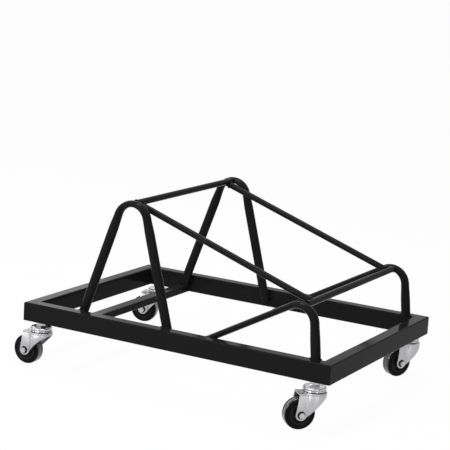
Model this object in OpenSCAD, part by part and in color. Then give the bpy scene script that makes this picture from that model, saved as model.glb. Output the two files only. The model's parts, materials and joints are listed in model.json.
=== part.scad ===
// Stacking chair trolley: a rectangular steel base on four swivel casters, with
// a bent A-frame and a bent front support on each side, tied by two cross rods and two diagonals.
// X runs along the trolley with the low front end at +X, Y across, Z up from the floor.

/* [Base frame] */
// Length of the base over its end rails
base_l = 680; // [600:5:780]
// Width of the base over its side rails
base_w = 470; // [420:5:540]
// Height of the rail tube
rail_h = 38; // [32:1:48]
// Width of the rail tube
rail_w = 25; // [22:1:32]
// Wall of the rail tube
rail_wall = 1.5; // [1.2:0.1:2.5]
// Outside corner radius of the rail tube
rail_r = 2.5; // [2:0.5:4]
// Centre of the lower cross member from the rear end
cross_from_rear = 111.5; // [95:0.5:130]
// Width of the lower cross member
cross_w = 25; // [20:1:32]
// Height of the lower cross member
cross_h = 15; // [12:1:20]

/* [Bent tubes] */
// Diameter of the bent tube
tube_d = 19; // [16:0.5:22]
// Wall of the bent tube
tube_wall = 1.5; // [1:0.1:2.5]
// Bend radius on the centre line of the tube
bend_r = 33.5; // [28:0.5:36]
// A-frame apex from the rear end
apex_from_rear = 223.5; // [200:0.5:240]
// A-frame apex centre line above the rails
apex_h = 227; // [190:1:260]
// Rear foot of the A-frame behind its apex, at the top of the rail
rear_spread = 101.5; // [90:0.5:110]
// Front foot of the A-frame ahead of its apex, at the top of the rail
front_spread = 89; // [85:0.5:110]
// Bend of the front support from the front end
hump_from_front = 82.5; // [77:0.5:92]
// Top of the front support's centre line above the rails
hump_h = 94.5; // [85:0.5:120]
// Foot of the front post from the front end
post_from_front = 42; // [38:0.5:44]
// Foot of the front post from the outer face of the side rail
post_inset = 23; // [18:0.5:26]
// Foot of the front support's sloped leg from the front end
slope_from_front = 329; // [290:1:350]

/* [Rods] */
// Diameter of the two cross rods and the two diagonal rods
rod_d = 12.7; // [10:0.1:14]
// Front cross rod ahead of the top of the front bends
front_rod_ahead = 8.5; // [0:0.5:9]
// Diagonal rod from the outer face of the side rail
diagonal_inset = 60.5; // [52:0.5:90]
// Diagonal rod's centre line below the rear cross rod's at its upper end
diagonal_drop = 4.4; // [0:0.1:6]

/* [Casters] */
// Caster stem from the end of the base
stem_inset = 35; // [30:1:45]
// Diameter of the wheel
wheel_d = 60; // [54:0.5:64]
// Width of the tyre
wheel_w = 21; // [18:1:24]
// Wheel centre behind the swivel axis
trail = 28; // [22:1:30]
// Diameter of the threaded stem
stem_d = 10; // [8:0.5:12]
// Diameter of the upper race cup
cup_d = 44; // [40:1:50]
// Height of the upper race cup
cup_h = 7.6; // [6.5:0.1:8.5]
// Height of the nut between the cup and the washer under the rail
stem_nut_h = 9.9; // [6:0.1:14]
// Thickness of the yoke's sheet
yoke_t = 2.5; // [2:0.1:3]
// Diameter of the yoke's round crown
crown_d = 47.4; // [46:0.2:52]
// Diameter of the axle bolt
axle_d = 6; // [5:0.5:7]
// Outside diameter of the axle sleeve
sleeve_d = 10; // [9:0.5:14]
// Diameter of the wheel's hub under the tyre
hub_d = 40; // [34:1:44]
// Angle that the front right caster stands at, in degrees from trailing straight back
front_right_angle = 46; // [-180:1:180]
// Angle that the front left caster stands at
front_left_angle = 62; // [-180:1:180]
// Angle that the rear right caster stands at
rear_right_angle = 1; // [-180:1:180]
// Angle that the rear left caster stands at
rear_left_angle = 11; // [-180:1:180]

/* [Hidden] */
$fn = 64;
// Cuts run past the faces they open by this much
over = 5;
// Gap that a weld closes between two pieces of the frame
weld_gap = 0.2;
// Radial running clearance of a pin in its hole
run_gap = 0.06;
// Axial clearance beside a turning piece
side_gap = 0.3;
// Clearance of a seated piece in its own body
seat_gap = 0.05;
// Smallest inside corner of a rail
least_r = 0.3;
// A bent tube's legs start this far inside the bend, a hair finer than it
leg_lap = 1;
leg_step = 0.03;

// Base frame, measured from its centre and from the underside of the rails
half_l = base_l / 2;
half_w = base_w / 2;
inner_w = base_w - 2 * rail_w;
cross_x = cross_from_rear - half_l;
tube_r = tube_d / 2;
rod_r = rod_d / 2;
frame_y = inner_w / 2 - tube_r - weld_gap;

// A-frame: bend centre and feet in its plane, as places along X and up Z
apex_x = apex_from_rear - half_l;
apex_c = [apex_x, rail_h + apex_h - bend_r];
apex_rear = [apex_x - rear_spread, rail_h];
apex_front = [apex_x + front_spread, rail_h];
rear_rod_z = rail_h + apex_h;

// Front support: its plane turns outward from the sloped leg's foot to the post's foot
hump_x = half_l - hump_from_front;
slope_x = half_l - slope_from_front;
post_x = half_l - post_from_front;
post_y = half_w - post_inset;
hump_turn = atan2(post_y - frame_y, post_x - slope_x);
hump_c = [(hump_x - slope_x) / cos(hump_turn), rail_h + hump_h - bend_r];
hump_rear = [0, 0];
hump_front = [(post_x - slope_x) / cos(hump_turn), rail_h];
front_rod_x = hump_x + front_rod_ahead;
front_rod_y = frame_y + (front_rod_x - slope_x) * tan(hump_turn);
front_rod_z = rail_h + hump_h;
diagonal_y = half_w - diagonal_inset;

// Caster sizes, with heights from the floor
stem_x = half_l - stem_inset;
stem_y = half_w - rail_w / 2;
axle_z = wheel_d / 2;
wheel_top_gap = 7.5;
crown_z = wheel_d + wheel_top_gap;
cup_z = crown_z + yoke_t + side_gap;
cup_top_z = cup_z + cup_h;
washer_t = 1.2;
caster_h = cup_top_z + stem_nut_h + washer_t;
cup_web = 2.2;
cup_skirt = 2.4;
cup_edge_r = 1.8;
cup_boss_d = stem_d + 2 * cup_web;
ball_d = cup_h - cup_web + side_gap - 2 * seat_gap;
ball_ring_r = (cup_boss_d / 2 + cup_d / 2 - cup_skirt) / 2;
ball_pitch_share = 1.25;
ball_count = floor(360 / (2 * asin(ball_d * ball_pitch_share / (2 * ball_ring_r))));
pin_share = 0.9;
pin_d = stem_d * pin_share;
pin_head_share = 1.5;
pin_head_d = stem_d * pin_head_share;
pin_head_h = 2.5;
fork_gap = 3.5;
fork_in = wheel_w + 2 * fork_gap;
fork_out = fork_in + 2 * yoke_t;
yoke_tail = 5;
yoke_back = trail + yoke_tail;
yoke_lip = 3.5;
yoke_end_r = 10.5;
yoke_nose = 2;
yoke_front = crown_d / 2 + yoke_nose;
nut_share = 1.7;
nut_af = stem_d * nut_share;
weld_nut_h = 8;
stem_top = caster_h + rail_wall + weld_nut_h + 2 * side_gap;
washer_share = 2;
washer_d = stem_d * washer_share;
axle_head_share = 1.667;
axle_af = axle_d * axle_head_share;
axle_head_h = 4;
axle_nut_h = 5;
axle_tip = 1.5;
hub_boss_t = 4;
hub_boss_d = sleeve_d + 2 * hub_boss_t;
hub_boss_w = fork_in - 2 * side_gap;
hub_web_w = 8;
hub_rim_t = 4;
tyre_r = 5;

// Each caster's end and side, and the angle it stands at
CASTERS = [[1, -1, front_right_angle], [1, 1, front_left_angle],
  [-1, -1, rear_right_angle], [-1, 1, rear_left_angle]];
FRONT_RIGHT = CASTERS[0];
FRONT_LEFT = CASTERS[1];
REAR_RIGHT = CASTERS[2];
REAR_LEFT = CASTERS[3];

// How far a wheel reaches from its centre along a direction, given as shares along and across it
function wheel_reach(along, across) =
  (wheel_d / 2 - tyre_r) * abs(along) + (wheel_w / 2 - tyre_r) * abs(across) + tyre_r;

// Places of the wheels' centres
wheels_x = [for (c = CASTERS) c[0] * stem_x - trail * cos(c[2])];
wheels_y = [for (c = CASTERS) c[1] * stem_y - trail * sin(c[2])];

// The origin lies on the floor under the middle of the whole trolley as it stands
reach_x = [for (c = CASTERS) wheel_reach(cos(c[2]), sin(c[2]))];
reach_y = [for (c = CASTERS) wheel_reach(sin(c[2]), cos(c[2]))];
low_x = min(concat([-half_l], wheels_x - reach_x));
high_x = max(concat([half_l], wheels_x + reach_x));
low_y = min(concat([-stem_y - crown_d / 2], wheels_y - reach_y));
high_y = max(concat([stem_y + crown_d / 2], wheels_y + reach_y));
mid = [-(low_x + high_x) / 2, -(low_y + high_y) / 2, 0];

// Lean from the vertical of a straight leg that runs from foot p to the bend round c
function lean(p, c, r) = atan2(abs(c[0] - p[0]), c[1] - p[1]) - asin(r / norm(c - p));

// Point where a line from p touches the circle of radius r round c, on side s
function touch(p, c, r, s) =
  c + r * [cos(atan2(p[1] - c[1], p[0] - c[0]) + s * acos(r / norm(p - c))),
           sin(atan2(p[1] - c[1], p[0] - c[0]) + s * acos(r / norm(p - c)))];

// Places children in the base frame's own axes
module on_base() {
  translate(mid + [0, 0, caster_h]) children();
}

// Places children on one side: left as drawn, right mirrored
module on_side(s) {
  on_base() {
    if (s > 0) children();
    else mirror([0, 1, 0]) children();
  }
}

// Places children on the swivel axis of caster c at the floor, turned as it stands
module at_caster(c) {
  translate(mid + [c[0] * stem_x, c[1] * stem_y, 0]) rotate([0, 0, c[2]]) {
    if (c[1] < 0) children();
    else mirror([0, 1, 0]) children();
  }
}

// Visits all four casters
module each_caster() {
  for (c = CASTERS) at_caster(c) children();
}

// Section of a rail with rounded corners, centred
module rail_section(w, h, r) {
  square([w, h - 2 * r], center = true);
  square([w - 2 * r, h], center = true);
  for (a = [-1, 1], b = [-1, 1]) translate([a * (w / 2 - r), b * (h / 2 - r)]) circle(r = r);
}

// Hollow rail along X, centred on its length, with its underside at zero
module hollow_rail(l, w, h) {
  translate([0, 0, h / 2]) rotate([0, 90, 0]) difference() {
    linear_extrude(l, center = true) rail_section(h, w, rail_r);
    linear_extrude(l + 2 * over, center = true)
      rail_section(h - 2 * rail_wall, w - 2 * rail_wall, max(rail_r - rail_wall, least_r));
  }
}

// Rail along X whose outer face is at y = 0 on its -Y side, with mitred ends
module mitred_rail(l) {
  difference() {
    translate([0, rail_w / 2, 0]) hollow_rail(l, rail_w, rail_h);
    for (e = [-1, 1]) translate([e * l / 2, 0, -over]) rotate([0, 0, e > 0 ? 135 : 45])
      translate([-over, e > 0 ? -2 * rail_w : 0, 0])
        cube([2 * rail_w + 2 * over, 2 * rail_w, rail_h + 2 * over]);
  }
}

// Long side rail on the right, with the caster stems' holes in its lower wall
module side_rail() {
  color("#26272a") difference() {
    translate([0, -half_w, 0]) mitred_rail(base_l);
    for (e = [-1, 1]) translate([e * stem_x, -stem_y, -over])
      cylinder(d = stem_d + 2 * side_gap, h = over + 2 * rail_wall);
  }
}

// Short rail across the front end
module end_rail() {
  color("#2c2d31") translate([half_l, 0, 0]) rotate([0, 0, 90]) mitred_rail(base_w);
}

// Low cross member between the side rails, under the rear feet
module lower_cross_member() {
  color("#3a3b40") translate([cross_x, 0, 0]) rotate([0, 0, 90])
    hollow_rail(inner_w, cross_w, cross_h);
}

// Ring section of the bent tube, drawn finer by a step on both faces
module tube_section(step) {
  difference() {
    circle(d = tube_d - 2 * step);
    circle(d = tube_d - 2 * tube_wall + 2 * step);
  }
}

// Straight leg of a bent tube, upward from zero, which starts a little inside the bend
module tube_leg(l) {
  translate([0, 0, -leg_lap]) linear_extrude(l + leg_lap) tube_section(leg_step);
}

// Tube bent round c, with straight legs to the feet p1 behind and p2 ahead and a bit beyond
module bent_tube(c, p1, p2, extra) {
  lean1 = lean(p1, c, bend_r);
  lean2 = lean(p2, c, bend_r);
  long1 = sqrt(pow(norm(c - p1), 2) - pow(bend_r, 2)) + extra;
  long2 = sqrt(pow(norm(c - p2), 2) - pow(bend_r, 2)) + extra;
  translate([c[0], 0, c[1]]) {
    rotate([90, 0, 0]) rotate([0, 0, lean2]) rotate_extrude(angle = 180 - lean1 - lean2)
      translate([bend_r, 0]) tube_section(0);
    translate([-bend_r * cos(lean1), 0, bend_r * sin(lean1)]) rotate([0, 180 + lean1, 0])
      tube_leg(long1);
    translate([bend_r * cos(lean2), 0, bend_r * sin(lean2)]) rotate([0, 180 - lean2, 0])
      tube_leg(long2);
  }
}

// Room that the left side rail takes up, weld gap included
module rail_room() {
  translate([-half_l, inner_w / 2 - weld_gap, -over])
    cube([base_l, rail_w + over, rail_h + weld_gap + over]);
}

// Everything below a level, between two places along the base
module below(x1, x2, z) {
  translate([x1, 0, z - 2 * rail_h]) cube([x2 - x1, base_w, 2 * rail_h]);
}

// Left A-frame: inside the rail, with its feet level with the cross member's top
module a_frame() {
  color("#1f2023") difference() {
    translate([0, frame_y, 0]) bent_tube(apex_c, apex_rear, apex_front, rail_h + tube_d);
    below(-base_l, base_l, cross_h);
  }
}

// Left front support: a post on the rail and a leg that slopes down inside it
module front_support() {
  color("#1f2023") difference() {
    translate([slope_x, frame_y, 0]) rotate([0, 0, hump_turn])
      bent_tube(hump_c, hump_rear, hump_front, rail_h + tube_d);
    rail_room();
    below(-base_l, base_l, 0);
    below(hump_x, base_l, rail_h);
  }
}

// Rod across the trolley between the two apexes
module rear_rod() {
  color("#303136") translate([apex_x, 0, rear_rod_z]) rotate([90, 0, 0])
    cylinder(r = rod_r, h = 2 * (frame_y - tube_r - weld_gap), center = true);
}

// Rod across the trolley between the two front bends
module front_rod() {
  reach = front_rod_y - tube_r / cos(hump_turn) - rod_r * tan(hump_turn) - weld_gap;
  color("#303136") translate([front_rod_x, 0, front_rod_z]) rotate([90, 0, 0])
    cylinder(r = rod_r, h = 2 * reach, center = true);
}

// Room that a cross rod takes up, weld gap included
module rod_room(x, z) {
  translate([x, 0, z]) rotate([90, 0, 0]) cylinder(r = rod_r + weld_gap, h = base_w, center = true);
}

// Left diagonal rod, its ends shaped to the two cross rods
module diagonal_rod() {
  run = [front_rod_x - apex_x, front_rod_z - rear_rod_z + diagonal_drop];
  color("#303136") difference() {
    translate([apex_x, diagonal_y, rear_rod_z - diagonal_drop])
      rotate([0, atan2(run[0], run[1]), 0]) cylinder(r = rod_r, h = norm(run));
    rod_room(apex_x, rear_rod_z);
    rod_room(front_rod_x, front_rod_z);
  }
}

// Hexagon bar by its width across flats
module hexagon(af, h) {
  cylinder(d = af / cos(30), h = h, $fn = 6);
}

// Nuts welded inside the side rails over the stem holes
module weld_nuts() {
  color("#8d9094") each_caster() translate([0, 0, caster_h + rail_wall]) difference() {
    hexagon(nut_af, weld_nut_h);
    translate([0, 0, -over]) cylinder(d = stem_d + 2 * seat_gap, h = weld_nut_h + 2 * over);
  }
}

// Washers under the side rails
module stem_washers() {
  color("#c9ccd0") each_caster() translate([0, 0, caster_h - washer_t]) difference() {
    cylinder(d = washer_d, h = washer_t);
    translate([0, 0, -over]) cylinder(d = stem_d + 2 * seat_gap, h = washer_t + 2 * over);
  }
}

// Nuts that clamp the stems between the cups and the washers
module stem_nuts() {
  color("#c9ccd0") each_caster() translate([0, 0, cup_top_z]) difference() {
    hexagon(nut_af, stem_nut_h);
    translate([0, 0, -over]) cylinder(d = stem_d + 2 * seat_gap, h = stem_nut_h + 2 * over);
  }
}

// Threaded stem with its kingpin and the riveted head under the yoke
module stem() {
  color("#b9bcc1") {
    translate([0, 0, cup_z]) cylinder(d = stem_d, h = stem_top - cup_z);
    translate([0, 0, crown_z - side_gap]) cylinder(d = pin_d, h = cup_z - crown_z + side_gap);
    translate([0, 0, crown_z - side_gap - pin_head_h]) cylinder(d = pin_head_d, h = pin_head_h);
  }
}

// Upper race cup over the balls
module cup() {
  color("#d3d6da") translate([0, 0, cup_z]) difference() {
    rotate_extrude() {
      square([cup_d / 2, cup_h - cup_edge_r]);
      square([cup_d / 2 - cup_edge_r, cup_h]);
      translate([cup_d / 2 - cup_edge_r, cup_h - cup_edge_r]) circle(r = cup_edge_r);
    }
    translate([0, 0, -over]) cylinder(d = stem_d + 2 * seat_gap, h = cup_h + 2 * over);
    rotate_extrude() translate([cup_boss_d / 2, -over])
      square([cup_d / 2 - cup_skirt - cup_boss_d / 2, cup_h - cup_web + over]);
  }
}

// Balls between the cup and the yoke
module balls() {
  color("#e4e6e9") for (i = [0 : ball_count - 1]) rotate([0, 0, i * 360 / ball_count])
    translate([ball_ring_r, 0, crown_z + yoke_t + seat_gap + ball_d / 2]) sphere(d = ball_d);
}

// Everything within the yoke's side view: a tapering web above a round end at the axle
module yoke_side() {
  axle = [-trail, axle_z];
  back = [-yoke_back, crown_z + yoke_t - yoke_lip];
  front = [yoke_front, crown_z + yoke_t - yoke_lip];
  rotate([90, 0, 0]) union() {
    linear_extrude(crown_d + over, center = true)
      polygon([[-yoke_back, caster_h], [yoke_front, caster_h], front,
        touch(front, axle, yoke_end_r, -1), axle, touch(back, axle, yoke_end_r, 1), back]);
    translate(axle) cylinder(r = yoke_end_r, h = crown_d + over, center = true);
  }
}

// Block with the yoke's plan, in by a step: parallel cheeks behind a round front
module yoke_block(step, back, h) {
  union() {
    cylinder(r = crown_d / 2 - step, h = h);
    translate([-back, step - fork_out / 2, 0]) cube([back, fork_out - 2 * step, h]);
  }
}

// Stamped yoke: a crown whose skirt wraps round the front and runs back as two tapering cheeks
module yoke() {
  color("#cfd2d6") difference() {
    intersection() {
      yoke_block(0, 2 * yoke_back, crown_z + yoke_t);
      yoke_side();
    }
    translate([0, 0, -over]) yoke_block(yoke_t, 3 * yoke_back, crown_z + over);
    translate([0, 0, crown_z - over]) cylinder(d = pin_d + 2 * run_gap, h = yoke_t + 2 * over);
    translate([-trail, 0, axle_z]) rotate([90, 0, 0])
      cylinder(d = axle_d + 2 * seat_gap, h = fork_out + 2 * over, center = true);
  }
}

// Axle bolt, with its head on the outer side
module axle_bolt() {
  color("#a9adb2") translate([-trail, -fork_out / 2, axle_z]) rotate([-90, 0, 0]) {
    translate([0, 0, -axle_head_h]) hexagon(axle_af, axle_head_h);
    cylinder(d = axle_d, h = fork_out + axle_nut_h + axle_tip);
  }
}

// Nut on the axle bolt
module axle_nut() {
  color("#b9bcc1") translate([-trail, fork_out / 2, axle_z]) rotate([-90, 0, 0]) difference() {
    hexagon(axle_af, axle_nut_h);
    translate([0, 0, -over]) cylinder(d = axle_d + 2 * seat_gap, h = axle_nut_h + 2 * over);
  }
}

// Sleeve that the bolt clamps between the yoke's side plates
module sleeve() {
  color("#9ea2a7") translate([-trail, 0, axle_z]) rotate([90, 0, 0]) difference() {
    cylinder(d = sleeve_d, h = fork_in - 2 * seat_gap, center = true);
    cylinder(d = axle_d + 2 * seat_gap, h = fork_in + 2 * over, center = true);
  }
}

// Wheel hub: rim, web and boss round the sleeve
module hub() {
  color("#34363a") translate([-trail, 0, axle_z]) rotate([90, 0, 0]) difference() {
    rotate_extrude() {
      translate([hub_d / 2 - hub_rim_t, -wheel_w / 2]) square([hub_rim_t, wheel_w]);
      translate([0, -hub_web_w / 2]) square([hub_d / 2 - hub_rim_t / 2, hub_web_w]);
      translate([0, -hub_boss_w / 2]) square([hub_boss_d / 2, hub_boss_w]);
    }
    cylinder(d = sleeve_d + 2 * run_gap, h = fork_in + 2 * over, center = true);
  }
}

// Tyre with rounded shoulders
module tyre() {
  color("#17181a") translate([-trail, 0, axle_z]) rotate([90, 0, 0]) rotate_extrude() {
    inner = hub_d / 2 + seat_gap;
    flat = wheel_w - 2 * tyre_r;
    translate([inner, -wheel_w / 2]) square([wheel_d / 2 - tyre_r - inner, wheel_w]);
    translate([inner, -flat / 2]) square([wheel_d / 2 - inner, flat]);
    for (s = [-1, 1]) translate([wheel_d / 2 - tyre_r, s * flat / 2]) circle(r = tyre_r);
  }
}

on_base() side_rail();  // rail_right
on_base() mirror([0, 1, 0]) side_rail();  // rail_left
on_base() end_rail();  // rail_front
on_base() mirror([1, 0, 0]) end_rail();  // rail_rear
on_base() lower_cross_member();
on_side(-1) a_frame();  // a_frame_right
on_side(1) a_frame();  // a_frame_left
on_side(-1) front_support();  // front_support_right
on_side(1) front_support();  // front_support_left
on_base() rear_rod();
on_base() front_rod();
on_side(-1) diagonal_rod();  // diagonal_rod_right
on_side(1) diagonal_rod();  // diagonal_rod_left
weld_nuts();
stem_nuts();
stem_washers();
at_caster(FRONT_RIGHT) stem();  // stem_front_right
at_caster(FRONT_LEFT) stem();  // stem_front_left
at_caster(REAR_RIGHT) stem();  // stem_rear_right
at_caster(REAR_LEFT) stem();  // stem_rear_left
at_caster(FRONT_RIGHT) cup();  // cup_front_right
at_caster(FRONT_LEFT) cup();  // cup_front_left
at_caster(REAR_RIGHT) cup();  // cup_rear_right
at_caster(REAR_LEFT) cup();  // cup_rear_left
at_caster(FRONT_RIGHT) balls();  // balls_front_right
at_caster(FRONT_LEFT) balls();  // balls_front_left
at_caster(REAR_RIGHT) balls();  // balls_rear_right
at_caster(REAR_LEFT) balls();  // balls_rear_left
at_caster(FRONT_RIGHT) yoke();  // yoke_front_right
at_caster(FRONT_LEFT) yoke();  // yoke_front_left
at_caster(REAR_RIGHT) yoke();  // yoke_rear_right
at_caster(REAR_LEFT) yoke();  // yoke_rear_left
at_caster(FRONT_RIGHT) axle_bolt();  // axle_bolt_front_right
at_caster(FRONT_LEFT) axle_bolt();  // axle_bolt_front_left
at_caster(REAR_RIGHT) axle_bolt();  // axle_bolt_rear_right
at_caster(REAR_LEFT) axle_bolt();  // axle_bolt_rear_left
at_caster(FRONT_RIGHT) axle_nut();  // axle_nut_front_right
at_caster(FRONT_LEFT) axle_nut();  // axle_nut_front_left
at_caster(REAR_RIGHT) axle_nut();  // axle_nut_rear_right
at_caster(REAR_LEFT) axle_nut();  // axle_nut_rear_left
at_caster(FRONT_RIGHT) sleeve();  // sleeve_front_right
at_caster(FRONT_LEFT) sleeve();  // sleeve_front_left
at_caster(REAR_RIGHT) sleeve();  // sleeve_rear_right
at_caster(REAR_LEFT) sleeve();  // sleeve_rear_left
at_caster(FRONT_RIGHT) hub();  // hub_front_right
at_caster(FRONT_LEFT) hub();  // hub_front_left
at_caster(REAR_RIGHT) hub();  // hub_rear_right
at_caster(REAR_LEFT) hub();  // hub_rear_left
at_caster(FRONT_RIGHT) tyre();  // tyre_front_right
at_caster(FRONT_LEFT) tyre();  // tyre_front_left
at_caster(REAR_RIGHT) tyre();  // tyre_rear_right
at_caster(REAR_LEFT) tyre();  // tyre_rear_left
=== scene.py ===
"""Stacking chair trolley: finishes, pressed bends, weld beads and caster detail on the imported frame."""

import json
import math

import bmesh
import bpy
from mathutils import Matrix, Vector


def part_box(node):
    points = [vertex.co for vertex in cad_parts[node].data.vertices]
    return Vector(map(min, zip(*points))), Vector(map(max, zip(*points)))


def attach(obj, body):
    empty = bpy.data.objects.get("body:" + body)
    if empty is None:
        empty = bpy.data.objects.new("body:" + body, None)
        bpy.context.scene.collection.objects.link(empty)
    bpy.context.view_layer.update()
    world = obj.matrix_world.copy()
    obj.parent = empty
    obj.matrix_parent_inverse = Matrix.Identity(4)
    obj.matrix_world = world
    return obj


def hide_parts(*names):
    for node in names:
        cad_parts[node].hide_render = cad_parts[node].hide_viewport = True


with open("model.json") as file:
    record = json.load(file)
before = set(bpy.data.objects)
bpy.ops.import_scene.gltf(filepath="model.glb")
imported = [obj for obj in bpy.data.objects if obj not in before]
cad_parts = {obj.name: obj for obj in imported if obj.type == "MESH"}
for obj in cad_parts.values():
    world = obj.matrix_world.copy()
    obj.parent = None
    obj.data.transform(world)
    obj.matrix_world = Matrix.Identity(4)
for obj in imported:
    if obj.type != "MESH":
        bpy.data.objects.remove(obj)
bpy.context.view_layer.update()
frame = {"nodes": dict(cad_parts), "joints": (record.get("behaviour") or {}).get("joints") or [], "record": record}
nodes = frame["nodes"]
joints = {j["name"]: j for j in frame["joints"]}

MM = 0.001
TAU = 2 * math.pi
X_WAY = Vector((1, 0, 0))
Y_WAY = Vector((0, 1, 0))
UP = Vector((0, 0, 1))

# Sizes of the welded frame, in metres
TUBE_R = 9.5 * MM
TUBE_WALL = 1.5 * MM
BEND_R = 33.5 * MM
ROD_R = 6.35 * MM
RAIL_W = 25 * MM
RAIL_H = 38 * MM
CROSS_H = 15 * MM
CROSS_HALF_W = 12.5 * MM
WELD_GAP = 0.2 * MM

# Places on the base, from its centre and the underside of its rails
right_low, right_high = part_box("rail_right")
left_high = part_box("rail_left")[1]
BASE = Vector(((right_low.x + right_high.x) / 2, (right_low.y + left_high.y) / 2, right_low.z))
HALF_L = (right_high.x - right_low.x) / 2
HALF_W = (left_high.y - right_low.y) / 2
INNER_Y = HALF_W - RAIL_W
FRAME_Y = INNER_Y - TUBE_R - WELD_GAP
APEX_X = 223.5 * MM - HALF_L
APEX_Z = RAIL_H + 227 * MM
REAR_FOOT_X = APEX_X - 101.5 * MM
FRONT_FOOT_X = APEX_X + 89 * MM
HUMP_X = HALF_L - 82.5 * MM
HUMP_Z = RAIL_H + 94.5 * MM
SLOPE_X = HALF_L - 329 * MM
POST_X = HALF_L - 42 * MM
POST_Y = HALF_W - 23 * MM
FRONT_ROD_X = HUMP_X + 8.5 * MM
DIAGONAL_Y = HALF_W - 60.5 * MM
DIAGONAL_DROP = 4.4 * MM
CROSS_X = 111.5 * MM - HALF_L


# Finishes


class Wire:
    """A socket of a finish, with arithmetic that adds Math nodes"""

    def __init__(self, finish, socket):
        self.finish = finish
        self.socket = socket

    def math(self, operation, first, second):
        return self.finish.node("ShaderNodeMath", {"operation": operation}, {0: first, 1: second})

    def __add__(self, other):
        return self.math("ADD", self, other)

    def __mul__(self, other):
        return self.math("MULTIPLY", self, other)

    def __pow__(self, other):
        return self.math("POWER", self, other)

    __radd__ = __add__
    __rmul__ = __mul__


class Finish:
    """A material under construction"""

    def __init__(self, name, tree=None):
        if tree is None:
            self.material = bpy.data.materials.new(name)
            self.material.use_nodes = True
            tree = self.material.node_tree
        self.tree = tree
        self.tree.nodes.clear()

    def node(self, kind, settings=None, inputs=None, output=0):
        """Any node, from its type, its settings and the values or links of its sockets"""
        made = self.tree.nodes.new(kind)
        for key, value in (settings or {}).items():
            if key == "stops":
                ramp = made.color_ramp.elements
                while len(ramp) < len(value):
                    ramp.new(0.5)
                for stop, (place, shade) in zip(ramp, value):
                    stop.position = place
                    stop.color = (*shade, 1)
            else:
                setattr(made, key, value)
        for key, value in (inputs or {}).items():
            if isinstance(value, Wire):
                self.tree.links.new(value.socket, made.inputs[key])
            else:
                made.inputs[key].default_value = value
        return Wire(self, made.outputs[output]) if len(made.outputs) else None

    def speckle(self, scale, detail=3.0, rough=0.55):
        """Noise from 0 to 1 over the piece, with so many grains a metre"""
        place = self.node("ShaderNodeTexCoord", output="Object")
        inputs = {"Vector": place, "Scale": scale, "Detail": detail, "Roughness": rough}
        return self.node("ShaderNodeTexNoise", None, inputs)

    def spread(self, value, low, high):
        """A value from 0 to 1, spread between two others"""
        return value * (high - low) + low

    def shade(self, factor, dark, light):
        """A colour between two"""
        inputs = {"Factor": factor, 6: (*dark, 1), 7: (*light, 1)}
        return self.node("ShaderNodeMix", {"data_type": "RGBA"}, inputs, output=2)

    def clamp(self, value):
        return self.node("ShaderNodeClamp", None, {"Value": value})

    def facing(self, vector, way):
        """How far a vector points along a way"""
        settings = {"operation": "DOT_PRODUCT"}
        return self.node("ShaderNodeVectorMath", settings, {0: vector, 1: way}, output="Value")

    def bump(self, height, strength, distance):
        inputs = {"Height": height, "Strength": strength, "Distance": distance}
        return self.node("ShaderNodeBump", None, inputs)

    def surface(self, **sockets):
        """Ends the finish in one principled surface"""
        names = {name.replace("_", " "): value for name, value in sockets.items()}
        shader = self.node("ShaderNodeBsdfPrincipled", None, names)
        self.node("ShaderNodeOutputMaterial", None, {"Surface": shader})
        return self.material


def powder_coat(name):
    """Black powder coat with a fine orange peel, and a little dust on what faces up"""
    f = Finish(name)
    broad = f.speckle(7.0, 2.0)
    peel = f.speckle(620.0, 2.0)
    normal = f.node("ShaderNodeNewGeometry", output="Normal")
    upward = f.node("ShaderNodeSeparateXYZ", None, {0: normal}, output="Z")
    settled = f.clamp(upward) * f.speckle(46.0, 5.0, 0.65) ** 2.0
    dark, light = (0.0105, 0.0105, 0.0108), (0.018, 0.018, 0.0185)
    return f.surface(
        Base_Color=f.shade(settled * 0.6 + broad * 0.25, dark, light),
        Roughness=f.spread(broad, 0.09, 0.15) + settled * 0.1,
        Specular_IOR_Level=0.024,
        Normal=f.bump(peel, 0.05, 0.0004),
    )


def bright_zinc(name):
    """Bright zinc plate on pressed steel, a little cloudy"""
    f = Finish(name)
    cloud = f.speckle(60.0, 4.0, 0.6)
    streak = f.speckle(420.0, 2.0)
    dark, light = (0.33, 0.33, 0.34), (0.56, 0.56, 0.57)
    return f.surface(
        Base_Color=f.shade(cloud * 0.7 + streak * 0.3, dark, light),
        Metallic=1.0,
        Roughness=f.spread(cloud, 0.34, 0.52),
        Normal=f.bump(streak, 0.06, 0.0003),
    )


def polished_zinc(name):
    """Bright zinc plate on turned and headed pieces"""
    f = Finish(name)
    cloud = f.speckle(90.0, 3.0, 0.6)
    return f.surface(
        Base_Color=f.shade(cloud, (0.38, 0.38, 0.39), (0.62, 0.62, 0.63)),
        Metallic=1.0,
        Roughness=f.spread(cloud, 0.07, 0.18),
    )


def machined_steel(name):
    """Plain turned steel with fine tool marks"""
    f = Finish(name)
    turned = f.speckle(900.0, 2.0)
    cloud = f.speckle(40.0, 3.0)
    return f.surface(
        Base_Color=f.shade(cloud, (0.36, 0.36, 0.37), (0.58, 0.58, 0.59)),
        Metallic=1.0,
        Roughness=f.spread(turned, 0.26, 0.44),
        Normal=f.bump(turned, 0.08, 0.0002),
    )


def painted_shade_black(name):
    """Near-black steel for the axle washers, whose dark is painted shade round the bolt heads and nuts"""
    f = Finish(name)
    cloud = f.speckle(300.0, 3.0)
    return f.surface(
        Base_Color=f.shade(cloud, (0.012, 0.012, 0.0125), (0.03, 0.03, 0.031)),
        Metallic=1.0,
        Roughness=f.spread(cloud, 0.3, 0.45),
    )


def polished_ball(name):
    """Polished steel with a smear of grease"""
    f = Finish(name)
    smear = f.speckle(240.0, 3.0)
    return f.surface(
        Base_Color=f.shade(smear, (0.62, 0.62, 0.64), (0.8, 0.8, 0.82)),
        Metallic=1.0,
        Roughness=f.spread(smear, 0.08, 0.2),
    )


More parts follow.
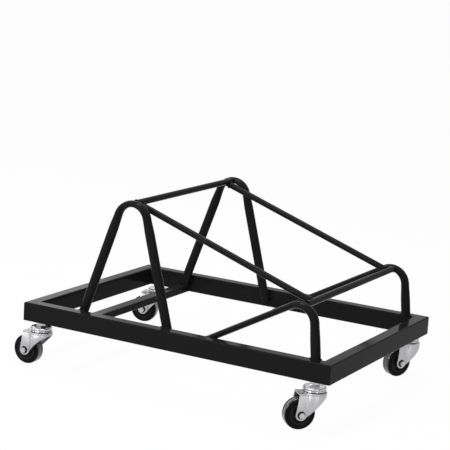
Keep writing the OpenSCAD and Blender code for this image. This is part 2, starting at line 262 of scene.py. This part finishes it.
def black_rubber(name):
    """Black rubber walls and a tread greyed by the mesh's wear mask: partly worn rubber, partly a painted sheen
    standing in for the bright surroundings it reflects
    """
    f = Finish(name)
    scuff = f.speckle(130.0, 5.0, 0.7)
    grain = f.speckle(1500.0, 2.0)
    wear_and_sheen_mask = f.node("ShaderNodeAttribute", {"attribute_name": "wear"}, output="Fac")
    # Tread made a lighter grey: partly worn rubber, partly a painted sheen for the bright surroundings it reflects
    wear_and_painted_sheen = wear_and_sheen_mask * f.spread(scuff, 0.6, 1.0) + scuff ** 2.0 * 0.05
    return f.surface(
        Base_Color=f.shade(wear_and_painted_sheen, (0.004, 0.004, 0.0042), (0.06, 0.06, 0.061)),
        Roughness=f.spread(scuff, 0.12, 0.3),
        Specular_IOR_Level=0.05,
        Coat_Weight=wear_and_sheen_mask,
        Coat_Roughness=0.14,
        Normal=f.bump(grain, 0.04, 0.0002),
    )


def black_moulding(name):
    """Moulded black plastic"""
    f = Finish(name)
    grain = f.speckle(1100.0, 2.0)
    broad = f.speckle(30.0, 3.0)
    return f.surface(
        Base_Color=f.shade(broad, (0.009, 0.009, 0.0095), (0.022, 0.022, 0.023)),
        Roughness=f.spread(broad, 0.32, 0.48),
        Specular_IOR_Level=0.1,
        Normal=f.bump(grain, 0.08, 0.0002),
    )


ZINC = bright_zinc("bright_zinc")
TURNED = polished_zinc("polished_zinc")
# Near-black look for the axle washers: painted shade round the bolt heads and nuts
SHADE_WASHER_LOOK = painted_shade_black("painted_shade_black")
SLOT_FINISHES = {
    "frame_black": powder_coat("black_powder_coat"),
    "zinc": ZINC,
    "plain_steel": machined_steel("machined_steel"),
    "ball_steel": polished_ball("polished_ball"),
    "wheel_plastic": black_moulding("black_moulding"),
    "wheel_rubber": black_rubber("black_rubber"),
}
for part in frame["record"]["subparts"]:
    look = SLOT_FINISHES[part["material_slot"]]
    if look == ZINC and not part["node"].startswith("yoke"):
        look = TURNED
    shown = nodes[part["node"]].data.materials
    shown.clear()
    shown.append(look)


# Making pieces


def closed_mesh(name, verts, faces):
    """A mesh with its faces turned outward"""
    mesh = bpy.data.meshes.new(name)
    mesh.from_pydata([tuple(v) for v in verts], [], faces)
    made = bmesh.new()
    made.from_mesh(mesh)
    bmesh.ops.recalc_face_normals(made, faces=made.faces)
    made.to_mesh(mesh)
    made.free()
    return mesh


def dress(name, body, slot, mesh, stands_for=None, turn=None, crease=35.0, look=None):
    """Puts a finished mesh on its body, in the finish of a record slot or another look"""
    if turn is not None:
        mesh.transform(turn)
    made = bpy.data.objects.new(name, mesh)
    bpy.context.scene.collection.objects.link(made)
    mesh.materials.append(look or SLOT_FINISHES[slot])
    mesh.shade_smooth()
    mesh.set_sharp_from_angle(angle=math.radians(crease))
    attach(made, body)
    if stands_for:
        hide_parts(stands_for)
    return made


def piece(name, body, slot, verts, faces, stands_for=None, turn=None, crease=35.0, look=None):
    """A piece from points and faces"""
    mesh = closed_mesh(name, verts, faces)
    return dress(name, body, slot, mesh, stands_for, turn, crease, look)


def skin(rings, round_again=False):
    """Faces between rings of equal length, with flat ends unless the rings close on themselves"""
    count = len(rings[0])
    verts = [v for ring in rings for v in ring]
    faces = []
    last = len(rings) if round_again else len(rings) - 1
    for i in range(last):
        here, there = i * count, (i + 1) % len(rings) * count
        for k in range(count):
            after = (k + 1) % count
            faces.append((here + k, here + after, there + after, there + k))
    if not round_again:
        faces.append(tuple(range(count)))
        faces.append(tuple(range((len(rings) - 1) * count, len(rings) * count)))
    return verts, faces


def join(parts):
    """Several closed skins as one mesh's points and faces"""
    verts, faces = [], []
    for more_verts, more_faces in parts:
        faces += [tuple(i + len(verts) for i in face) for face in more_faces]
        verts += more_verts
    return verts, faces


def round_turn(count):
    """Angles evenly round a circle"""
    return [TAU * k / count for k in range(count)]


def smooth(x):
    """Eased step from 0 to 1"""
    x = min(max(x, 0.0), 1.0)
    return x * x * (3 - 2 * x)


# Bent tubes

TUBE_SIDES = 36
LEG_STEPS = 6
EASE_STEPS = 8
BEND_STEPS = 24
# Length of a leg over which the press's flattening fades
EASE = 34 * MM
# Share of the flattening that the tube gains in width, over this height above the rail
WIDENING = 0.6
WIDENING_RISE = 45 * MM
# Depth to which an open foot shows its bore
BORE_DEPTH = 45 * MM
# Share of the radius lost at the first foot, the bend's start, middle and end, and the second foot
A_FRAME_FLATS = (0, 0.22, 0.30, 0.22, 0)
SUPPORT_FLATS = (0.34, 0.34, 0.24, 0.14, 0)


def lean(foot, centre):
    """Lean from the vertical of a leg that runs from a foot to touch the bend"""
    across, rise = abs(centre[0] - foot[0]), centre[1] - foot[1]
    return math.atan2(across, rise) - math.asin(BEND_R / math.hypot(across, rise))


def leg_stations(centre, foot, angle, way, flat_foot, flat_bend):
    """Stations up a straight leg, close together where it meets the bend"""
    out = (-math.cos(angle) * way, math.sin(angle))
    climb = (math.sin(angle) * way, math.cos(angle))
    start = (centre[0] + BEND_R * out[0], centre[1] + BEND_R * out[1])
    length = math.hypot(start[0] - foot[0], start[1] - foot[1])
    backs = [length - (length - EASE) * k / LEG_STEPS for k in range(LEG_STEPS)]
    backs += [EASE * k / EASE_STEPS for k in range(EASE_STEPS, 0, -1)]
    stations = []
    for back in backs:
        spot = (start[0] - climb[0] * back, start[1] - climb[1] * back)
        flat = flat_foot + (flat_bend - flat_foot) * smooth(1 - back / EASE)
        stations.append((spot, climb, out, flat))
    return stations


def tube_stations(centre, foot1, foot2, flats):
    """Stations along a bent tube in its own plane: place, direction, outward, flattening"""
    lean1, lean2 = lean(foot1, centre), lean(foot2, centre)
    flat_foot1, flat1, flat_middle, flat2, flat_foot2 = flats
    rising = leg_stations(centre, foot1, lean1, 1, flat_foot1, flat1)
    bend = []
    sweep = math.pi - lean1 - lean2
    for k in range(BEND_STEPS + 1):
        angle = math.pi - lean1 - sweep * k / BEND_STEPS
        out = (math.cos(angle), math.sin(angle))
        spot = (centre[0] + BEND_R * out[0], centre[1] + BEND_R * out[1])
        even = flat1 + (flat2 - flat1) * k / BEND_STEPS
        flat = even + (flat_middle - (flat1 + flat2) / 2) * math.sin(math.pi * k / BEND_STEPS)
        bend.append((spot, (out[1], -out[0]), out, flat))
    other = leg_stations(centre, foot2, lean2, -1, flat_foot2, flat2)
    falling = [(spot, (-climb[0], -climb[1]), out, flat) for spot, climb, out, flat in reversed(other)]
    return rising + bend + falling


def bent_tube(name, node, centre, foot1, foot2, level1, level2, flats, origin, along):
    """Tube that the press has flattened in places, its feet cut level and open"""
    across = UP.cross(along)
    stations = tube_stations(centre, foot1, foot2, flats)

    def ring(station, radius):
        (u, z), _, out, flat = station
        thin = radius - TUBE_R * flat
        wide = radius + WIDENING * TUBE_R * flat * smooth((z - RAIL_H) / WIDENING_RISE)
        middle = origin + along * u + UP * z
        outward = along * out[0] + UP * out[1]
        return [middle + outward * (thin * math.cos(a)) + across * (wide * math.sin(a))
                for a in round_turn(TUBE_SIDES)]

    def cut(station, radius, level, deeper=0.0):
        way = along * station[1][0] + UP * station[1][1]
        return [p + way * ((level - p.z) / way.z) + way * deeper for p in ring(station, radius)]

    low1, low2 = BASE.z + level1, BASE.z + level2
    first, last = stations[0], stations[-1]
    bore = TUBE_R - TUBE_WALL
    rings = [cut(first, bore, low1, BORE_DEPTH), cut(first, bore, low1), cut(first, TUBE_R, low1)]
    rings += [ring(s, TUBE_R) for s in stations[1:-1]]
    rings += [cut(last, TUBE_R, low2), cut(last, bore, low2), cut(last, bore, low2, -BORE_DEPTH)]
    verts, faces = skin(rings)
    return piece(name, "frame", "frame_black", verts, faces, node)


apex = (APEX_X, APEX_Z - BEND_R)
hump_turn = math.atan2(POST_Y - FRAME_Y, POST_X - SLOPE_X)
hump_centre = ((HUMP_X - SLOPE_X) / math.cos(hump_turn), HUMP_Z - BEND_R)
post_foot = ((POST_X - SLOPE_X) / math.cos(hump_turn), RAIL_H)
front_rod_y = FRAME_Y + (FRONT_ROD_X - SLOPE_X) * math.tan(hump_turn)
for side, s in (("right", -1), ("left", 1)):
    bent_tube(
        f"a_frame_tube_{side}", f"a_frame_{side}",
        apex, (REAR_FOOT_X, RAIL_H), (FRONT_FOOT_X, RAIL_H), CROSS_H, CROSS_H, A_FRAME_FLATS,
        BASE + Vector((0, s * FRAME_Y, 0)), X_WAY,
    )
    bent_tube(
        f"front_support_tube_{side}", f"front_support_{side}",
        hump_centre, (0, 0), post_foot, 0, RAIL_H, SUPPORT_FLATS,
        BASE + Vector((SLOPE_X, s * FRAME_Y, 0)),
        Vector((math.cos(hump_turn), s * math.sin(hump_turn), 0)),
    )


# Weld beads

BEAD_STEP = 0.9 * MM
BEAD_SIDES = 10
BEAD_FLAT = 0.7
# Ripple of a bead, as a share of its radius and in steps, and its size at an open end
RIPPLE = 0.13
RIPPLE_STEPS = 3.0
END_SHARE = 0.35
END_STEPS = 3.0
# Radii of the beads
LEG_BEAD = 2.0 * MM
EDGE_BEAD = 1.9 * MM
POST_BEAD = 2.1 * MM
ROD_BEAD = 1.1 * MM
DIAGONAL_BEAD = 1.6 * MM
CROSS_BEAD = 1.8 * MM
# Half the width of a leg's joint with the rail, where the beads beside it lie
LEG_JOINT = 6.2 * MM
SLOPE_JOINT = 11.5 * MM
# Step of the sloped leg's beads, along and down
SLOPE_RUN = 9 * MM
SLOPE_FALL = 5.4 * MM


def bead(points, radius, closed=False, normal=UP):
    """Rippled weld bead along a line of points"""
    path = [Vector(p) for p in points]
    dense = []
    for a, b in zip(path, path[1:] + path[:1] if closed else path[1:]):
        steps = max(1, int((b - a).length / BEAD_STEP))
        dense += [a.lerp(b, k / steps) for k in range(steps)]
    if not closed:
        dense.append(path[-1])
    rings = []
    count = len(dense)
    for i, spot in enumerate(dense):
        ahead = dense[(i + 1) % count] if closed or i + 1 < count else spot
        behind = dense[i - 1] if closed or i else spot
        way = (ahead - behind).normalized()
        side = way.cross(normal)
        if side.length < 0.1:
            side = way.cross(X_WAY)
        side.normalize()
        rise = side.cross(way).normalized()
        swell = radius * (1 + RIPPLE * math.sin(TAU * i / RIPPLE_STEPS))
        if not closed:
            from_end = min(i, count - 1 - i)
            swell *= END_SHARE + (1 - END_SHARE) * smooth(from_end / END_STEPS)
        rings.append([spot + side * (swell * math.cos(a)) + rise * (swell * BEAD_FLAT * math.sin(a))
                      for a in round_turn(BEAD_SIDES)])
    return skin(rings, round_again=closed)


def circle(centre, axis, radius, count=28, long=None, stretch=1.0):
    """Points round a centre, longer by a stretch along one way"""
    first = long or axis.orthogonal()
    first = (first - axis * first.dot(axis)).normalized()
    second = axis.cross(first)
    return [centre + first * (radius * stretch * math.cos(a)) + second * (radius * math.sin(a))
            for a in round_turn(count)]


def at(x, y, z):
    """A point given from the base's centre and the rails' underside"""
    return BASE + Vector((x, y, z))


rear_tilt = math.tan(lean((REAR_FOOT_X, RAIL_H), apex))
front_tilt = math.tan(lean((FRONT_FOOT_X, RAIL_H), apex))
slope_tilt = math.tan(lean((0, 0), hump_centre))
diagonal_way = Vector((FRONT_ROD_X - APEX_X, 0, HUMP_Z - APEX_Z + DIAGONAL_DROP)).normalized()


def leg_beads(s):
    """Beads of the A-frame's legs against the inner face and edge of the side rail"""
    made = []
    face_y, edge_y = s * (INNER_Y - 1.4 * MM), s * (INNER_Y + 0.5 * MM)
    for x_top, tilt in ((REAR_FOOT_X, -rear_tilt), (FRONT_FOOT_X, front_tilt)):
        for edge in (-1, 1):
            low_x = x_top + tilt * (RAIL_H - CROSS_H) + edge * LEG_JOINT
            high_x = x_top + edge * LEG_JOINT
            low, high = at(low_x, face_y, CROSS_H + 2 * MM), at(high_x, face_y, RAIL_H - 1 * MM)
            made.append(bead([low, high], LEG_BEAD))
        run = [at(x_top + d * MM, edge_y, RAIL_H - 0.3 * MM) for d in (-9, 0, 9)]
        made.append(bead(run, EDGE_BEAD))
    return made


def foot_beads(s):
    """Beads of the rear foot on the cross member, the post on the rail and the sloped leg"""
    foot_x = REAR_FOOT_X - rear_tilt * (RAIL_H - CROSS_H)
    foot = at(foot_x, s * FRAME_Y, CROSS_H + 0.4 * MM)
    made = [bead(circle(foot, UP, TUBE_R + 0.4 * MM, 30, X_WAY, 1.06), EDGE_BEAD, True)]
    edge_y = INNER_Y - 0.2 * MM
    ring = circle(at(POST_X, s * POST_Y, RAIL_H + 0.4 * MM), UP, TUBE_R + 0.5 * MM, 40)
    ring = [spot - BASE for spot in ring]
    ring = [at(spot.x, s * max(abs(spot.y), edge_y), spot.z) for spot in ring]
    made.append(bead(ring, POST_BEAD, True))
    over_x = SLOPE_X + slope_tilt * RAIL_H
    leg_y = s * (INNER_Y - 0.8 * MM)
    for edge in (-1, 1):
        run = [at(over_x + edge * SLOPE_JOINT - k * SLOPE_RUN, leg_y, RAIL_H - k * SLOPE_FALL)
               for k in range(6)]
        made.append(bead(run, EDGE_BEAD))
    return made


def rod_beads(s):
    """Beads of the cross rods in the bends and of the diagonals against the cross rods"""
    rear_end = at(APEX_X, s * (FRAME_Y - TUBE_R - 1.2 * MM), APEX_Z)
    front_end = at(FRONT_ROD_X, s * (front_rod_y - TUBE_R - 1.0 * MM), HUMP_Z)
    made = [bead(circle(end, Y_WAY, ROD_R + 0.2 * MM), ROD_BEAD, True, Y_WAY)
            for end in (rear_end, front_end)]
    reach = diagonal_way * (ROD_R + WELD_GAP)
    upper = at(APEX_X, s * DIAGONAL_Y, APEX_Z - DIAGONAL_DROP) + reach
    lower = at(FRONT_ROD_X, s * DIAGONAL_Y, HUMP_Z) - reach
    made += [bead(circle(end, diagonal_way, ROD_R + 0.4 * MM), DIAGONAL_BEAD, True, diagonal_way)
             for end in (upper, lower)]
    return made


def cross_bead(s):
    """Bead over the end of the lower cross member"""
    end = s * (INNER_Y - 0.6 * MM)
    rear = CROSS_X - CROSS_HALF_W - 0.4 * MM
    front = CROSS_X + CROSS_HALF_W + 0.4 * MM
    run = [at(rear, end, 2 * MM), at(rear, end, CROSS_H),
           at(front, end, CROSS_H + 0.3 * MM), at(front, end, 2 * MM)]
    return bead(run, CROSS_BEAD)


beads = []
for s in (-1, 1):
    beads += leg_beads(s) + foot_beads(s) + rod_beads(s) + [cross_bead(s)]
piece("weld_beads", "frame", "frame_black", *join(beads), crease=60)


# Casters, in millimetres about the stem or the axle

TRAIL = 28.0
AXLE_Z = 30.0
YOKE_TOP = 70.0
SHEET = 2.5
FORK = 16.5
CROWN_R = 23.7
END_R = 10.5
# Roll of the crown's edge outside and inside, and how far the wall stands in below it
CROWN_ROLL = 1.7
INNER_ROLL = 1.2
WALL_STEP = 0.4
# Edges softened after the cuts
SOFT_EDGE = 0.35 * MM
# Radius where the tread's wear and painted sheen begin, and the width over which they grow
WEAR_AND_SHEEN_FROM = 28.4 * MM
WEAR_AND_SHEEN_WIDTH = 1.2 * MM


def lathe(profile, count=72):
    """Closed ring of a profile of (radius, along) points, turned about Z"""
    return skin([[Vector((r * MM * math.cos(a), r * MM * math.sin(a), z * MM)) for r, z in profile]
                 for a in round_turn(count)], round_again=True)


def arc(cx, cy, r, start, end, count):
    """Points of an arc, angles in degrees"""
    steps = [math.radians(start + (end - start) * k / count) for k in range(count + 1)]
    return [(cx + r * math.cos(a), cy + r * math.sin(a)) for a in steps]


def mirrored(half, middle=()):
    """A profile and its mirror image across the wheel's middle plane"""
    return half + list(middle) + [(r, -z) for r, z in reversed(half)]


def tyre_profile():
    """Moulded rings on the walls, round shoulders, flat tread with a parting line"""
    half = [(20.05, 10.3), (21.0, 10.5), (21.6, 10.9), (22.2, 10.5), (23.4, 10.4), (24.0, 10.8),
            (24.7, 10.4)]
    half += arc(25.2, 5.6, 4.8, 82, 8, 9)
    half += [(30.0, 5.2), (30.0, 0.5)]
    return mirrored(half, [(29.85, 0.0)])


def hub_profile():
    """Hub with a boss at the axle, a thin web and a rim"""
    return mirrored([(5.06, 13.7), (8.4, 13.7), (9.0, 13.1), (9.3, 6.4), (10.4, 5.0), (15.0, 4.4),
                     (16.0, 5.2), (16.7, 9.6), (17.4, 10.4), (19.98, 10.4)])


def cup_profile():
    """Race cup: a dished top inside a rolled rim with a groove"""
    return [(5.05, 70.4), (7.2, 70.4), (7.2, 75.4), (19.0, 75.4), (19.8, 74.8), (19.8, 73.2),
            (20.9, 72.6), (21.7, 72.9), (21.9, 73.7), (21.5, 74.5), (19.9, 74.9), (19.9, 76.0),
            (21.4, 76.3), (21.9, 77.1), (21.9, 78.5), (21.6, 79.4), (20.9, 80.0), (20.1, 80.1),
            (19.5, 79.8), (18.9, 79.3), (18.0, 79.1), (11.6, 79.0), (5.05, 79.0)]


def race_profile():
    """Ring pressed up from the yoke's crown, under the cup"""
    return [(17.6, 69.6), (22.0, 69.6), (22.5, 70.0), (22.3, 70.6), (21.6, 70.9), (19.2, 70.9),
            (17.6, 70.3)]


def washer_profile():
    """Dished washer under a bolt head or nut"""
    return [(3.1, 0.0), (7.4, 0.0), (7.6, 0.25), (7.3, 0.7), (6.4, 0.9), (3.1, 0.9)]


def solid(verts, faces):
    """A loose object to cut with"""
    loose = bpy.data.objects.new("cutter", closed_mesh("cutter", verts, faces))
    bpy.context.scene.collection.objects.link(loose)
    return loose


def settle(target):
    """Applies every modifier"""
    seen = target.evaluated_get(bpy.context.evaluated_depsgraph_get())
    mesh = bpy.data.meshes.new_from_object(seen)
    target.modifiers.clear()
    target.data = mesh


def carve(target, operation, cutter):
    """Cuts or joins a loose object, and removes it"""
    step = target.modifiers.new("carve", "BOOLEAN")
    step.operation = operation
    step.solver = "EXACT"
    step.object = cutter
    settle(target)
    bpy.data.objects.remove(cutter)


def prism(points, low, high):
    """Outline in X and Z, drawn out along Y"""
    return skin([[Vector((x * MM, y * MM, z * MM)) for x, z in points] for y in (low, high)])


def yoke_plan(inset, back):
    """Plan of the yoke, in by so much: parallel cheeks that open into a round front"""
    r, y = CROWN_R - inset, FORK - inset
    crease = math.degrees(math.acos(-math.sqrt(r * r - y * y) / r))
    turn_x, turn_y = r * math.cos(math.radians(crease)), r * math.sin(math.radians(crease))
    left = [(back + (turn_x - back) * k / 6, turn_y) for k in range(6)]
    front = arc(0, 0, r, crease, -crease, 48)
    return left + front + [(x, -v) for x, v in reversed(left)]


def yoke_shell(inset, back, low, top, corner, wall=0.0):
    """Solid with the yoke's plan, its upper edge rolled over a wall that stands a little in"""
    levels = [(inset + wall, low), (inset + wall, top - corner - 2.6)]
    if wall:
        neck = inset + wall + 0.5
        levels += [(neck, top - corner - 2.0), (neck, top - corner - 1.2)]
    levels += [(inset + corner * (1 - math.cos(a)), top - corner + corner * math.sin(a))
               for a in (math.radians(15 * k - 30) for k in range(9))]
    rings = [[Vector((x * MM, y * MM, z * MM)) for x, y in yoke_plan(step, back)]
             for step, z in levels]
    return solid(*skin(rings))


def touch(point, centre, radius, s):
    """Angle at which a line from a point touches a circle"""
    away = (point[0] - centre[0], point[1] - centre[1])
    return math.atan2(away[1], away[0]) + s * math.acos(radius / math.hypot(*away))


def yoke_outline():
    """Side view of the yoke: a round end at the axle, a sloping back and an arched front"""
    centre = (-TRAIL, AXLE_Z)
    back, front = (-33.0, 66.0), (-8.1, 37.0)
    arch = [(0.0, 45.7), (8.1, 53.5), (13.0, 57.6), (17.5, 61.0), (21.5, 63.6), (25.7, 65.6)]
    front_angle, back_angle = touch(front, centre, END_R, -1), touch(back, centre, END_R, 1)
    sweep = math.degrees(back_angle - front_angle) % 360
    start = math.degrees(front_angle)
    outline = arc(centre[0], centre[1], END_R, start, start - (360 - sweep), 20)
    return outline + [back, (-33.0, 75.0), (25.7, 75.0)] + arch[::-1] + [front]


def yoke_mesh():
    """Pressed yoke: a crown whose skirt wraps round the front, cut to its tapering side view"""
    shell = yoke_shell(0.0, -48.0, 8.0, YOKE_TOP, CROWN_ROLL, WALL_STEP)
    inside = yoke_shell(SHEET + WALL_STEP, -60.0, 2.0, YOKE_TOP - SHEET, INNER_ROLL)
    carve(shell, "DIFFERENCE", inside)
    carve(shell, "INTERSECT", solid(*prism(yoke_outline(), -30, 30)))
    carve(shell, "UNION", solid(*lathe(race_profile())))
    soften = shell.modifiers.new("soften", "BEVEL")
    soften.width = SOFT_EDGE
    soften.segments = 2
    soften.limit_method = "ANGLE"
    soften.angle_limit = math.radians(50)
    settle(shell)
    mesh = shell.data
    bpy.data.objects.remove(shell)
    mesh.materials.clear()
    return mesh


def placed(x_way, z_way, spot):
    """Turn and shift that takes X and Z to two ways, at a spot"""
    turn = Matrix((x_way, z_way.cross(x_way), z_way)).transposed().to_4x4()
    turn.translation = spot
    return turn


yoke = yoke_mesh()
for corner in ("front_right", "front_left", "rear_right", "rear_left"):
    swivel, wheel = f"swivel_{corner}", f"wheel_{corner}"
    stem_x, stem_y, _ = joints[swivel]["pos_m"]
    stem = Vector((stem_x, stem_y, 0))
    axle = Vector(joints[f"{wheel}_spin"]["pos_m"])
    ahead = (stem - Vector((axle.x, axle.y, 0))).normalized()
    beside = UP.cross(ahead)
    on_stem, on_axle = placed(ahead, UP, stem), placed(ahead, beside, axle)
    dress(f"pressed_yoke_{corner}", swivel, "zinc", yoke.copy(), f"yoke_{corner}", on_stem, 40)
    piece(f"race_cup_{corner}", "frame", "zinc", *lathe(cup_profile()), f"cup_{corner}", on_stem, 40,
          TURNED)
    # Washers under the axle bolt heads and nuts, made near-black as painted shade
    for side, end in (("head", -1), ("nut", 1)):
        cheek = axle + beside * (end * (FORK - WALL_STEP) * MM)
        piece(f"axle_shade_washer_{side}_{corner}", swivel, "plain_steel", *lathe(washer_profile(), 40),
              turn=placed(ahead, beside * end, cheek), look=SHADE_WASHER_LOOK)
    verts, faces = lathe(tyre_profile(), 96)
    tyre = piece(f"wheel_tyre_{corner}", wheel, "wheel_rubber", verts, faces, f"tyre_{corner}",
                 on_axle, 40)
    # Marks the tread for its grey of wear and painted sheen
    wear = tyre.data.attributes.new("wear", "FLOAT", "POINT")
    for spot, vert in zip(wear.data, verts):
        spot.value = smooth((vert.xy.length - WEAR_AND_SHEEN_FROM) / WEAR_AND_SHEEN_WIDTH)
    piece(f"wheel_hub_{corner}", wheel, "wheel_plastic", *lathe(hub_profile()), f"hub_{corner}",
          on_axle, 40)


# Stage, light and camera

FLOOR_REACH = 60.0
# Share of plain white in the floor's look; the rest is lit and keeps the shadow
FLOOR_WHITE = 0.97
# Walls as the light sees them, from the rear end to the front
DARK_WAY = (0.9, 0.44, 0)
WALL_STOPS = [(0.0, (0.36,) * 3), (0.45, (0.4,) * 3), (0.75, (0.07,) * 3)]
MIDDLE = (0.0, 0.0, 0.2)
# Name, place, aim, width and height in metres, and watts
SOFTBOXES = (
    ("overhead", (-0.1, 0.15, 2.0), (-0.1, 0.15, 0), (0.6, 1.6), 28),
    ("back_left", (-2.12, 1.47, 0.7), MIDDLE, (1.6, 0.9), 4.5),
    ("left_strip", (-1.9, -1.3, 0.9), MIDDLE, (0.16, 1.5), 5),
    ("right_strip", (1.7, -1.2, 0.9), MIDDLE, (0.14, 1.5), 4),
    ("near_left", (-0.7, -2.2, 1.2), MIDDLE, (1.2, 0.8), 26),
)
# Camera fitted to the edges of the base: angles in degrees, focal length in pixels of a square frame
CAMERA_TURN = math.radians(28.5035)
CAMERA_RISE = math.radians(11.097)
CAMERA_ROLL = math.radians(3.5877)
CAMERA_DISTANCE = 3.444295
FOCAL_PX = 1554.99
FRAME_PX = 450
SENSOR = 36.0
# Point in the middle of the frame, from the base, and its shift right and down, in millimetres
AIM = Vector((-170.24, 268.73, 150.0))
AIM_RIGHT = 1.7807
AIM_DOWN = 1.0691


def seen_white(f):
    """1 for rays that show the background: the camera's, and those in gloss and glass"""
    names = ("Is Camera Ray", "Is Glossy Ray", "Is Transmission Ray")
    camera, glossy, through = (f.node("ShaderNodeLightPath", output=name) for name in names)
    return f.clamp(camera + glossy + through)


def stage_finish():
    """Pale floor that shows as white with a trace of the shadow"""
    f = Finish("pale_floor")
    pale = f.shade(f.speckle(3.0, 2.0), (0.79, 0.79, 0.79), (0.81, 0.81, 0.81))
    lit = f.node("ShaderNodeBsdfDiffuse", None, {"Color": pale})
    white = f.node("ShaderNodeEmission", None, {"Color": (1, 1, 1, 1), "Strength": 1.0})
    share = seen_white(f) * FLOOR_WHITE
    mixed = f.node("ShaderNodeMixShader", None, {0: share, 1: lit, 2: white})
    f.node("ShaderNodeOutputMaterial", None, {"Surface": mixed})
    return f.material


def lay_floor():
    """One large square of floor"""
    mesh = bpy.data.meshes.new("floor")
    corners = [(x * FLOOR_REACH, y * FLOOR_REACH, 0) for x, y in ((-1, -1), (1, -1), (1, 1), (-1, 1))]
    mesh.from_pydata(corners, [], [(0, 1, 2, 3)])
    mesh.materials.append(stage_finish())
    floor = bpy.data.objects.new("floor", mesh)
    bpy.context.scene.collection.objects.link(floor)


def studio_walls():
    """White backdrop; for the light, walls that darken towards the front end"""
    world = bpy.data.worlds.new("studio")
    bpy.context.scene.world = world
    world.use_nodes = True
    f = Finish("studio", world.node_tree)
    away = f.facing(f.node("ShaderNodeTexCoord", output="Generated"), DARK_WAY)
    walls = f.node("ShaderNodeValToRGB", {"stops": WALL_STOPS}, {0: away * 0.5 + 0.5})
    lit = f.node("ShaderNodeBackground", None, {"Color": walls, "Strength": 1.0})
    white = f.node("ShaderNodeBackground", None, {"Color": (1, 1, 1, 1), "Strength": 1.0})
    mixed = f.node("ShaderNodeMixShader", None, {0: seen_white(f), 1: lit, 2: white})
    f.node("ShaderNodeOutputWorld", None, {"Surface": mixed})


def softbox(name, place, aim, size, watts):
    """Rectangular soft light aimed at a point"""
    lamp = bpy.data.lights.new(name, "AREA")
    lamp.shape = "RECTANGLE"
    lamp.size, lamp.size_y = size
    lamp.energy = watts
    made = bpy.data.objects.new(name, lamp)
    made.location = place
    made.rotation_euler = (Vector(aim) - Vector(place)).to_track_quat("-Z", "Y").to_euler()
    bpy.context.scene.collection.objects.link(made)


def place_camera():
    """Camera at the fitted angle, with its roll"""
    level = math.cos(CAMERA_RISE)
    back = Vector((math.sin(CAMERA_TURN) * level, -math.cos(CAMERA_TURN) * level, math.sin(CAMERA_RISE)))
    right = Vector((math.cos(CAMERA_TURN), math.sin(CAMERA_TURN), 0))
    up = back.cross(right)
    tilted_right = right * math.cos(CAMERA_ROLL) + up * math.sin(CAMERA_ROLL)
    tilted_up = up * math.cos(CAMERA_ROLL) - right * math.sin(CAMERA_ROLL)
    lens = bpy.data.cameras.new("camera")
    lens.sensor_width = SENSOR
    lens.lens = SENSOR * FOCAL_PX / FRAME_PX
    lens.clip_end = 200.0
    eye = bpy.data.objects.new("camera", lens)
    pose = Matrix((tilted_right, tilted_up, back)).transposed().to_4x4()
    aim = AIM + tilted_right * AIM_RIGHT - tilted_up * AIM_DOWN
    pose.translation = BASE + aim * MM + back * CAMERA_DISTANCE
    eye.matrix_world = pose
    bpy.context.scene.collection.objects.link(eye)
    bpy.context.scene.camera = eye


lay_floor()
studio_walls()
for box in SOFTBOXES:
    softbox(*box)
place_camera()
bpy.context.scene.view_settings.view_transform = "Standard"
